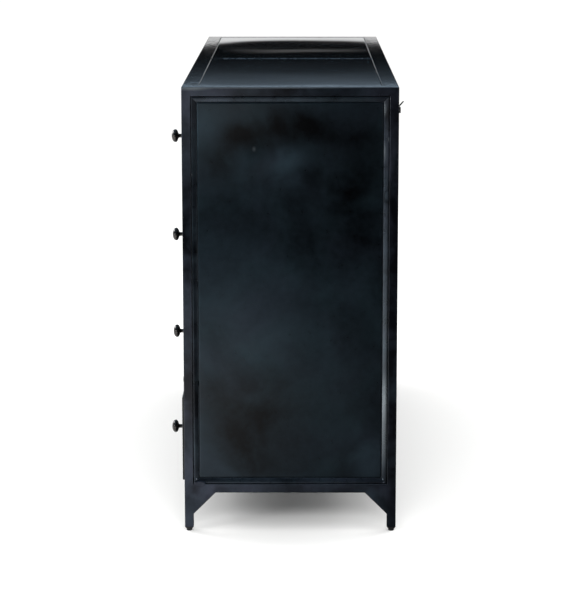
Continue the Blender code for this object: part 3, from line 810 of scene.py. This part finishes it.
def pressed_sheet(width, height, section, place, step, dent, back):
    """A sheet, width by height. Section is (distance from the edge, depth under the face), rim first.

    Place turns (across, up, out of the face) into a point of the chest. Back is how far the rim turns back.
    """
    # A close ring inside the section keeps the field's shading flat
    section = section + [(section[-1][0] + 1.5 * MM, 0.0)]
    rim = [d for d, _ in section]
    across = rim + even(rim[-1], width - rim[-1], step) + [width - d for d in reversed(rim)]
    upward = rim + even(rim[-1], height - rim[-1], step) + [height - d for d in reversed(rim)]
    nu, nv = len(across), len(upward)
    fade_over = 40 * MM
    shape = bmesh.new()
    grid = {}
    for i, u in enumerate(across):
        for j, v in enumerate(upward):
            ring = min(i, j, nu - 1 - i, nv - 1 - j)
            out = -section[ring][1] if ring < len(section) else 0.0
            if ring >= len(section) - 1:
                edge = min(u, v, width - u, height - v)
                out += dent(u, v) * min(1.0, max(0.0, (edge - rim[-1]) / fade_over))
            grid[i, j] = shape.verts.new(place(u, v, out))
    for i in range(nu - 1):
        for j in range(nv - 1):
            shape.faces.new((grid[i, j], grid[i + 1, j], grid[i + 1, j + 1], grid[i, j + 1]))
    far = [shape.verts.new(place(across[i], upward[j], -back)) for i, j in rim_of(nu, nv)]
    bridge(shape, [grid[place_on] for place_on in rim_of(nu, nv)], far)
    shape.faces.new(far)
    return shape


# %% Top sheets
def top_wave(seed):
    def wave(u, v):
        drift = noise.noise(Vector((u * 3.0, v * 4.0, seed)))
        ripple = noise.noise(Vector((u * 9.0, v * 7.0, seed + 5)))
        return 0.10 * MM * drift + 0.012 * MM * ripple

    return wave


SHEET_EDGE = [(0, 1.0 * MM), (0, 0.5 * MM), (0.15 * MM, 0.15 * MM), (0.6 * MM, 0.0)]
SHEET_BACK = 1.2 * MM
SUNK = 0.15 * MM
for name, seed in (("left", 3.0), ("right", 8.0)):
    low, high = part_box(f"top_sheet_{name}")
    shape = pressed_sheet(
        high.x - low.x,
        high.y - low.y,
        SHEET_EDGE,
        lambda u, v, out: (low.x + u, low.y + v, TOP + out - SUNK),
        0.025,
        top_wave(seed),
        SHEET_BACK,
    )
    show(f"top_sheet_{name}_skin", shape, TOP_STEEL, "case", [f"top_sheet_{name}"])
    print("top sheet", name, round(high.x - low.x, 3), "by", round(high.y - low.y, 3))

# %% [markdown]
# ## The top's welds
# The welds are left as low round beads along the border and the seam. A bead is drawn as a run of small
# rings, a ring every 4 mm, each a little higher or lower, as a hand-held torch leaves it. The front bead
# is ground smooth and polished with the border, so it has the border's finish.


# %% Top welds
def weld_bead(shape, start, end, out, width, height):
    """A low round bead from start to end on a face that looks along out."""
    along = (Vector(end) - Vector(start)).normalized()
    across = along.cross(out).normalized()
    length = (Vector(end) - Vector(start)).length
    rings = []
    for d in [0.0] + even(0.0, length, 4 * MM) + [length]:
        lump = 1 + 0.25 * noise.noise(Vector((d * 260, start[0] * 7, start[1] * 9)))
        centre = Vector(start) + along * d
        ring = []
        for n in range(6):
            angle = math.pi * n / 5
            rise = math.sin(angle) * height * lump - 0.3 * MM * (n in (0, 5))
            ring.append(shape.verts.new(centre + across * math.cos(angle) * width / 2 + out * rise))
        rings.append(ring)
    tube(shape, rings)


def top_welds():
    up = Vector((0, 0, 1))
    x, y0, y1 = HALF - BORDER, FRONT + BORDER, BACK - BORDER
    z = TOP - SUNK
    shape = bmesh.new()
    for a, b in (((-x, y1), (x, y1)), ((-x, y0), (-x, y1)), ((x, y0), (x, y1))):
        weld_bead(shape, (*a, z), (*b, z), up, 1.4 * MM, 0.25 * MM)
    weld_bead(shape, (0, y0, z), (0, y1, z), up, 4.4 * MM, 1.2 * MM)
    show("top_welds", shape, SEAM_STEEL, "case", smooth=80)
    front = bmesh.new()
    weld_bead(front, (-x, y0, z), (x, y0, z), up, 1.6 * MM, 0.10 * MM)
    show("front_top_weld", front, BORDER_STEEL, "case", smooth=80)
    print("seam", round(y1 - y0, 3), "m long")


top_welds()

# %% [markdown]
# ## The ends
# Each end is one sheet behind a planted bead. The sheet is pressed so that its field stands a little
# proud of the edge under the bead, which draws the dark line and the thin light line inside the bead. One
# knock near the top has left a shallow hollow. The beads are four strips with a low round face, mitred
# where they meet.


# %% End sheets
def end_wave(u, v):
    slow = noise.noise(Vector((u * 3.2, v * 2.4, 1.7)))
    knock = math.exp(-((u - 0.14) ** 2 + (v - 0.70) ** 2) / 0.0004)
    return 0.9 * MM * slow - 0.35 * MM * knock


BEAD_LOW, BEAD_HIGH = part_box("side_bead_right")
BEAD_REACH = max(abs(BEAD_LOW.x), abs(BEAD_HIGH.x))
BEAD_WIDTH = 11 * MM
FIELD = BEAD_LOW.z - BASE_TOP + BEAD_WIDTH + 1.0 * MM


def end_sheet(name, side):
    low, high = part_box(f"side_panel_{name}")
    face = max(abs(low.x), abs(high.x))
    section = [(0, 2.2 * MM), (FIELD, 2.2 * MM), (FIELD + 0.25 * MM, 1.2 * MM)]
    section += [(FIELD + 0.8 * MM, 0.4 * MM), (FIELD + 2.2 * MM, 0.0)]
    shape = pressed_sheet(
        high.y - low.y,
        high.z - low.z,
        section,
        lambda u, v, out: (side * (face + out), low.y + u, low.z + v),
        0.016,
        end_wave,
        3.2 * MM,
    )
    show(f"end_sheet_{name}", shape, SHEET_STEEL, "case", [f"side_panel_{name}"])


print("field starts", round(FIELD / MM, 1), "mm in from the sheet's edge")


# %% Beads
def bead_section():
    """Distance in from the bead's outer edge, and depth under its highest line, round the strip."""
    depth = 5.0
    section = [(0, depth), (0, 0.9), (0.3, 0.3), (1.0, 0.0), (3.0, 0.1), (5.5, 0.6), (8.0, 1.3), (10.0, 1.95)]
    section += [(10.7, 2.3), (BEAD_WIDTH / MM, 2.9), (BEAD_WIDTH / MM, depth)]
    return [(t * MM, d * MM) for t, d in section]


def end_bead(name, side):
    shape = bmesh.new()
    width, height = BEAD_HIGH.y - BEAD_LOW.y, BEAD_HIGH.z - BEAD_LOW.z
    corners = [(0, 0), (width, 0), (width, height), (0, height)]
    slit = 0.12 * MM
    for n in range(4):
        start, end = Vector(corners[n]), Vector(corners[(n + 1) % 4])
        length = (end - start).length
        run = (end - start) / length
        inward = Vector((-run.y, run.x))
        pieces = round((length - 2 * (BEAD_WIDTH + slit)) / 0.06)
        rows = []
        for t, d in bead_section():
            row = []
            for k in range(pieces + 1):
                s = t + slit + (length - 2 * (t + slit)) * k / pieces
                u, v = start + run * s + inward * t
                row.append(shape.verts.new((side * (BEAD_REACH - d), BEAD_LOW.y + u, BEAD_LOW.z + v)))
            rows.append(row)
        tube(shape, [list(ring) for ring in zip(*rows)])
    show(f"end_bead_{name}", shape, BEAD_STEEL, "case", [f"side_bead_{name}"], smooth=50)


for name, side in SIDES.items():
    end_sheet(name, side)
    end_bead(name, side)
print("bead", round(BEAD_WIDTH / MM), "mm wide")

# %% [markdown]
# ## Turned parts
# Knobs, rivets, screws and drops of weld are all round about an axis, so one function turns them: it
# takes the outline in millimetres, as a lathe hand reads it, from the foot to the tip.


# %% Turning
def turned(outline, segments, place, shape=None):
    """Turn (radius, distance along the axis) in mm about an axis, as a new shape or into one."""
    shape = shape or bmesh.new()
    rings = []
    for radius, along in outline:
        if radius < 1e-3:
            turns = [0.0]
        else:
            turns = [2 * math.pi * n / segments for n in range(segments)]
        r, out = radius * MM, along * MM
        rings.append([shape.verts.new(place(r * math.cos(a), r * math.sin(a), out)) for a in turns])
    tube(shape, rings)
    return shape


# %% [markdown]
# ## Corner repairs
# At the lower front corner of each end, a weld was filled and ground over: a shallow ragged patch, flat
# in the middle, that dives under the frame's face at its rim. The grinder missed a few drops of weld
# beside it and on the far side of the bead.


# %% Filler and spatter
def filler_patch(name, side, centre, reach, seed):
    around = 36
    rise, dive, turn_in = 0.25 * MM, 2.6 * MM, 0.72
    shape = bmesh.new()
    rings = [[shape.verts.new((side * (HALF + rise), *centre))]]
    for n in range(1, 9):
        out = n / 8
        height = rise * (1 - out**2) - dive * max(0.0, (out - turn_in) / (1 - turn_in)) ** 2
        ring = []
        for k in range(around):
            angle = 2 * math.pi * k / around
            c, s = math.cos(angle), math.sin(angle)
            ragged = 1 + 0.16 * noise.noise(Vector((c * 1.6, s * 1.6, seed)))
            y, z = centre[0] + reach[0] * out * ragged * c, centre[1] + reach[1] * out * ragged * s
            ring.append(shape.verts.new((side * (HALF + height), y, z)))
        rings.append(ring)
    rings.append([shape.verts.new((side * (HALF - 3.4 * MM), v.co.y, v.co.z)) for v in rings[-1]])
    tube(shape, rings[::-1])
    show(name, shape, FRAME_STEEL, "case", smooth=60)


DOME = ((1.0, 0.0), (0.95, 0.4), (0.7, 0.75), (0.35, 0.95), (0.0, 1.0))


def spatter(name, side, drops):
    shape = bmesh.new()
    foot = BEAD_REACH - 0.6 * MM
    for y, z, radius in drops:
        dome = [(r * radius, o * radius) for r, o in DOME]
        turned(dome, 12, lambda a, b, o: (side * (foot + o), y + a, z + b), shape)
    show(name, shape, BRIGHT_WELD, "case", smooth=70)


near_y, low_z, far_y = BEAD_LOW.y, BEAD_LOW.z, BEAD_HIGH.y
for name, side in SIDES.items():
    centre = (near_y + 13 * MM, low_z - 1 * MM)
    filler_patch(f"corner_filler_{name}", side, centre, (15 * MM, 8 * MM), 2.0 + side)
    drops = [(near_y + 6 * MM, low_z + 10 * MM, 1.7), (far_y - 8 * MM, low_z + 9 * MM, 1.9)]
    drops += [(far_y - 6 * MM, low_z + 3 * MM, 1.7)]
    spatter(f"weld_spatter_{name}", side, drops)
print("repairs on", len(SIDES), "ends")

# %% [markdown]
# ## Drawer fronts
# A drawer front is a pan folded from sheet, so its edges are round and its face waves a little. Each is
# pressed from the same wave, read at another place, so no two are the same.


# %% Drawer fronts
def front_wave(u, v):
    return 0.25 * MM * noise.noise(Vector((u * 5.0, v * 6.0, 4.2)))


def make_front(row, name):
    node = f"drawer_front_{row}_{name}"
    low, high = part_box(node)
    section = [(0, 1.6 * MM), (0.25 * MM, 0.75 * MM), (0.75 * MM, 0.25 * MM), (1.6 * MM, 0.0)]
    shape = pressed_sheet(
        high.x - low.x,
        high.z - low.z,
        section,
        lambda u, v, out: (low.x + u, low.y - out, low.z + v),
        0.03,
        lambda u, v: front_wave(u + row, v + high.x),
        high.y - low.y,
    )
    show(f"front_skin_{row}_{name}", shape, DRAWER_STEEL, f"drawer_{row}_{name}", [node])


for row in ROWS:
    for name in SIDES:
        make_front(row, name)
print("fronts", len(ROWS) * len(SIDES))

# %% [markdown]
# ## Drawer boxes
# The box behind a front is a folded tray. A groove is rolled round its walls to stiffen them, and its rim
# is rolled over so that no raw edge meets a hand. It is drawn as round-cornered rings: up the outside,
# over the rim and down the inside.


# %% Drawer boxes
def rounded_ring(low, high, inset, radius, steps=4):
    """A rectangle with round corners, as (x, y) points, inset from the box's sides."""
    x0, x1, y0, y1 = low.x + inset, high.x - inset, low.y + inset, high.y - inset
    r = max(radius - inset, 0.6 * MM)
    points = []
    corners = ((x1 - r, y0 + r, -90), (x1 - r, y1 - r, 0), (x0 + r, y1 - r, 90), (x0 + r, y0 + r, 180))
    for cx, cy, turn in corners:
        for n in range(steps + 1):
            angle = math.radians(turn + 90 * n / steps)
            points.append((cx + r * math.cos(angle), cy + r * math.sin(angle)))
    return points


def tray_levels(z0, z1):
    """(inset, height) from the floor's edge up the outside, over the rim and down the inside."""
    wall, groove = 1.0 * MM, 1.2 * MM
    swage = z0 + 0.55 * (z1 - z0)
    levels = [(3.0 * MM, z0), (0.9 * MM, z0 + 0.9 * MM), (0, z0 + 3.0 * MM), (0, swage - 9 * MM)]
    levels += [(groove, swage - 4 * MM), (groove, swage + 4 * MM), (0, swage + 9 * MM), (0, z1 - 5.5 * MM)]
    levels += [(-1.3 * MM, z1 - 4.2 * MM), (-1.8 * MM, z1 - 2.2 * MM), (-1.2 * MM, z1 - 0.6 * MM)]
    levels += [(0.1 * MM, z1), (wall, z1 - 0.8 * MM), (wall, z1 - 6 * MM), (wall, swage + 9 * MM)]
    levels += [(groove + wall, swage + 4 * MM), (groove + wall, swage - 4 * MM), (wall, swage - 9 * MM)]
    return levels + [(wall, z0 + 3.6 * MM), (1.8 * MM, z0 + 1.9 * MM), (4.0 * MM, z0 + wall)]


def make_box(row, name):
    node = f"drawer_box_{row}_{name}"
    low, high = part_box(node)
    shape = bmesh.new()
    rings = []
    for inset, z in tray_levels(low.z, high.z):
        rings.append([shape.verts.new((x, y, z)) for x, y in rounded_ring(low, high, inset, 4 * MM)])
    tube(shape, rings)
    show(f"tray_{row}_{name}", shape, INNER_STEEL, f"drawer_{row}_{name}", [node], 35)


for row in ROWS:
    for name in SIDES:
        make_box(row, name)
print("boxes", len(ROWS) * len(SIDES))

# %% [markdown]
# ## Knobs
# A knob is turned from bar: a flared foot, a thin neck, and a flattened ball for a head. Its screw comes
# through the front from inside the box, and shows when the drawer is open.


# %% Knobs
def knob_outline():
    """Radius and distance from the front, in mm: foot, neck, then the head as a flattened ball."""
    foot, flare, head, middle = 8.1, 3.95, 14.0, 19.6
    outline = [(8.2, 0.0), (8.5, 0.4), (8.5, 1.1), (foot, 1.6)]
    for n in range(1, 7):
        turn = n / 6 * math.pi / 2
        outline.append((foot - flare * math.sin(turn), 1.6 + 3.6 * (1 - math.cos(turn))))
    outline += [(4.15, 8.0), (4.2, 11.6), (4.7, 12.9)]
    for n in range(1, 8):
        angle = math.radians(-62 + 62 * n / 8)
        outline.append((head * math.cos(angle) ** 0.8, middle + 6.4 * math.sin(angle)))
    for n in range(12):
        angle = math.radians(90 * n / 12)
        outline.append((head * math.cos(angle) ** 0.85, middle + 8.4 * math.sin(angle)))
    return outline + [(0.0, 28.0)]


SCREW_HEAD = [(4.0, 0.0), (4.0, 0.6), (3.4, 1.5), (2.2, 2.1), (1.4, 2.2), (1.2, 1.5), (0.0, 1.4)]


def make_knob(row, name, end):
    node = f"knob_{row}_{name}_{end}"
    body = f"drawer_{row}_{name}"
    low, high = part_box(node)
    centre = (low + high) / 2
    knob = turned(knob_outline(), 40, lambda a, b, out: (centre.x + a, high.y - out, centre.z + b))
    show(f"turned_{node}", knob, BRONZE, body, [node], 60)
    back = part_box(f"drawer_box_{row}_{name}")[0].y + 1.0 * MM
    screw = turned(SCREW_HEAD, 16, lambda a, b, out: (centre.x + a, back + out, centre.z + b))
    show(f"knob_screw_{row}_{name}_{end}", screw, WELD_STEEL, body)


for row in ROWS:
    for name in SIDES:
        for end in ("outer", "inner"):
            make_knob(row, name, end)
print("knobs", 2 * len(ROWS) * len(SIDES))

# %% [markdown]
# ## Feet
# A glide is pushed into each leg. Only its collar and its pad show: four sloping faces from the tube down
# to a small round pad, so that the leg seems to end in a blunt point.


# %% Feet
def make_foot(corner):
    node = f"foot_glide_{corner}"
    low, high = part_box(node)
    centre = (low + high) / 2
    shape = bmesh.new()
    rings = []
    for half, z in ((5.4, 0.0), (6.2, 0.7), (6.3, 4.2), (7.4, 5.4), (8.8, 8.0), (9.4, 9.2)):
        square = min(1.0, max(0.0, (z - 3.5) / 4.0))
        ring = []
        for n in range(32):
            c, s = math.cos(2 * math.pi * n / 32), math.sin(2 * math.pi * n / 32)
            reach = half * MM * (1 + square * (min(1 / max(abs(c), abs(s)), 1.32) - 1))
            ring.append(shape.verts.new((centre.x + reach * c, centre.y + reach * s, z * MM)))
        rings.append(ring)
    tube(shape, rings)
    show(f"glide_{corner}", shape, GLIDE_BLACK, "case", [node])


for corner in ("front_left", "front_right", "back_left", "back_right"):
    make_foot(corner)
print("glides", 4)

# %% [markdown]
# ## Inside the case
# The runners are steel angles welded in pairs to the middle wall and to uprights behind the ends. They
# only show when a drawer is pulled, so simple folded sections are enough, with rounded bends and a plain
# satin finish.


# %% Runners and divider
def prism(outline, low, high, point):
    """A solid with this outline, from low to high along the third axis."""
    shape = bmesh.new()
    tube(shape, [[shape.verts.new(point(a, b, c)) for a, b in outline] for c in (low, high)])
    return shape


THIN = 1.5 * MM
DROP = 12 * MM


def angle_bar(x_wall, x_lip, z_top, y0, y1):
    """An angle: a flat under the drawer, from the wall out to its lip, and a leg down the wall."""
    way = 1 if x_lip > x_wall else -1
    outline = [(x_wall, z_top - DROP), (x_wall, z_top - THIN)]
    outline += [(x_wall + way * THIN * 0.3, z_top - THIN * 0.3)]
    outline += [(x_wall + way * THIN, z_top), (x_lip, z_top), (x_lip, z_top - THIN)]
    outline += [(x_wall + way * 2 * THIN, z_top - THIN), (x_wall + way * THIN, z_top - 2 * THIN)]
    outline += [(x_wall + way * THIN, z_top - DROP)]
    return prism(outline, y0, y1, lambda x, z, y: (x, y, z))


ladder_low, ladder_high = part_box("runner_frame_right")
runner_y = (ladder_low.y, ladder_high.y)
divider_low, divider_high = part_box("centre_divider")
for row in ROWS:
    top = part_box(f"drawer_box_{row}_left")[0].z - 0.3 * MM
    for name, side in SIDES.items():
        inner = angle_bar(side * THIN, side * divider_high.x, top, *runner_y)
        show(f"inner_runner_{row}_{name}", inner, INNER_STEEL, "case")
        outer = angle_bar(side * ladder_high.x, side * ladder_low.x, top, *runner_y)
        show(f"outer_runner_{row}_{name}", outer, INNER_STEEL, "case")

web = steel_blocks([bar((-THIN, ladder_low.y, divider_low.z), (THIN, divider_high.y, divider_high.z))])
show("divider_web", web, INNER_STEEL, "case", ["centre_divider"])
for name, side in SIDES.items():
    x, strap = side * ladder_high.x, 20 * MM
    uprights = []
    for start in (ladder_low.y, ladder_high.y - strap):
        uprights.append(bar((x, start, ladder_low.z), (x - side * THIN, start + strap, ladder_high.z)))
    nodes = [f"runner_frame_{name}"]
    show(f"runner_uprights_{name}", steel_blocks(uprights), INNER_STEEL, "case", nodes)

# %% [markdown]
# ## Back, floor and batten
# The back is one wide sheet, so it is less flat than the ends, and rivets hold it all round. A plain sheet
# closes the case below the drawers, and a folded batten lies under the seam of the top to hold its two
# sheets level.


# %% Back
def make_back():
    low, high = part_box("back_panel")
    section = [(0, 1.0 * MM), (10 * MM, 1.0 * MM), (11 * MM, 0.6 * MM), (13 * MM, 0.1 * MM), (15 * MM, 0.0)]
    shape = pressed_sheet(
        high.x - low.x,
        high.z - low.z,
        section,
        lambda u, v, out: (low.x + u, high.y + out, low.z + v),
        0.03,
        lambda u, v: 0.9 * MM * noise.noise(Vector((u * 2.2, v * 3.0, 9.1))),
        2.0 * MM,
    )
    show("back_sheet", shape, BACK_STEEL, "case", ["back_panel"])
    apart, margin = 0.17, 5 * MM
    places = [(x, z) for x in even(low.x, high.x, apart) for z in (low.z + margin, high.z - margin)]
    places += [(x, z) for z in even(low.z, high.z, apart) for x in (low.x + margin, high.x - margin)]
    dome = [(3.2, 0.0), (3.1, 0.5), (2.4, 1.1), (1.2, 1.4), (0.0, 1.5)]
    heads = bmesh.new()
    for x, z in places:
        turned(dome, 14, lambda a, b, out: (x + a, high.y - 1.0 * MM + out, z + b), heads)
    show("back_rivets", heads, FRAME_STEEL, "case", smooth=60)
    print("rivets", len(places))


make_back()


# %% Floor and batten
def make_bottom():
    low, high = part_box("bottom_panel")
    shape = pressed_sheet(
        high.x - low.x,
        high.y - low.y,
        SHEET_EDGE,
        lambda u, v, out: (low.x + u, low.y + v, high.z + out),
        0.05,
        lambda u, v: 0.4 * MM * noise.noise(Vector((u * 3, v * 4, 6.0))),
        SHEET_BACK,
    )
    show("bottom_sheet", shape, INNER_STEEL, "case", ["bottom_panel"])


def make_batten():
    low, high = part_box("top_batten")
    y0, y1 = FRONT + BORDER + 0.5 * MM, BACK - BORDER - 0.5 * MM
    under = high.z - THIN
    hat = [bar((low.x, y0, low.z), (low.x + THIN, y1, under))]
    hat += [bar((high.x - THIN, y0, low.z), (high.x, y1, under))]
    hat += [bar((low.x, y0, under - THIN), (high.x, y1, under))]
    show("seam_batten", steel_blocks(hat), INNER_STEEL, "case", ["top_batten"])


make_bottom()
make_batten()

# %% [markdown]
# ## Wall tie
# A small nylon bridge is screwed to the back, and the cut end of a tie stands out of it. The tie's teeth
# are what make it a tie, so its strap has fine ridges across its outer face. The strap keeps the packed
# solid's shape, with its faces tidied and its edges rounded.


# %% Teeth
def tooth_row(shape, edge, width):
    """Teeth along one sloping edge: small wedges across the strap, each sunk a little into it."""
    low, high = sorted((v.co.copy() for v in edge.verts), key=lambda c: c.z)
    along = (high - low).normalized()
    across = Vector((1, 0, 0))
    centre = sum((v.co for v in shape.verts), Vector()) / len(shape.verts)
    out = along.cross(across).normalized()
    if out.dot(centre - low) > 0:
        out = -out
    pitch = 1.3 * MM
    wedge = [(0.0, -0.2 * MM), (0.0, 1.1 * MM), (0.5 * pitch, 0.9 * MM), (0.97 * pitch, 0.5 * MM)]
    wedge += [(0.97 * pitch, -0.2 * MM)]
    for n in range(int(((high - low).length - 1.0 * MM) / pitch)):
        start = low + along * (0.5 * MM + n * pitch)
        profile = [start + along * a + out * b for a, b in wedge]
        ends = (0.3 * MM, width - 0.3 * MM)
        tube(shape, [[shape.verts.new(p + across * end) for p in profile] for end in ends])


# %% Bridge and strap
SLOT_HALF = 10 * MM


def make_bridge(low, high):
    """An arch of nylon with two screw lugs, and a slot under its crown for the strap."""
    middle, crown = (low.x + high.x) / 2, 3 * MM
    left, right = middle - SLOT_HALF, middle + SLOT_HALF
    outline = [(low.x, low.y), (low.x, low.y + 2.4 * MM), (low.x + 2 * MM, low.y + 3.2 * MM)]
    outline += [(left - 4 * MM, low.y + 3.4 * MM), (left - 2.5 * MM, high.y - 2 * MM)]
    outline += [(left - 0.5 * MM, high.y)]
    outline += [(2 * middle - x, y) for x, y in reversed(outline)]
    outline += [(right, low.y), (right, high.y - crown), (left, high.y - crown), (left, low.y)]
    shape = prism(outline, low.z, high.z, lambda x, y, z: (x, y, z))
    soften(show("tie_bridge", shape, NYLON_BLACK, "case", ["tie_bracket"]), 0.4 * MM)


def make_strap(low, high):
    shape = bmesh.new()
    shape.from_mesh(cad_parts["wall_tie"].data)
    bmesh.ops.remove_doubles(shape, verts=shape.verts[:], dist=1e-6)
    tidy_flat_faces(shape)
    # The longest sloping edges run along the strap's outer and inner faces, and the teeth stand on them
    sloping = [e for e in shape.edges if abs(e.verts[0].co.x - e.verts[1].co.x) < 1e-6]
    sloping.sort(key=lambda e: (-round(e.calc_length(), 5), e.verts[0].co.y))
    for edge in sloping[:4]:
        if edge.verts[0].co.x < (low.x + high.x) / 2:
            tooth_row(shape, edge, high.x - low.x)
    soften(show("tie_strap", shape, NYLON_BLACK, "case", ["wall_tie"]), 0.25 * MM)
    print("strap", round((high.x - low.x) / MM, 1), "mm wide")


def make_lug_screws(low, high):
    head = [(3.0, 0.0), (3.0, 0.6), (2.4, 1.2), (1.3, 1.6), (0.0, 1.2)]
    for name, side in SIDES.items():
        x, z = (low.x + high.x) / 2 + side * (SLOT_HALF + 6 * MM), (low.z + high.z) / 2
        screw = turned(head, 18, lambda a, b, out: (x + a, low.y + 3.3 * MM + out, z + b))
        show(f"bracket_screw_{name}", screw, WELD_STEEL, "case")


make_bridge(*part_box("tie_bracket"))
make_strap(*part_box("wall_tie"))
make_lug_screws(*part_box("tie_bracket"))
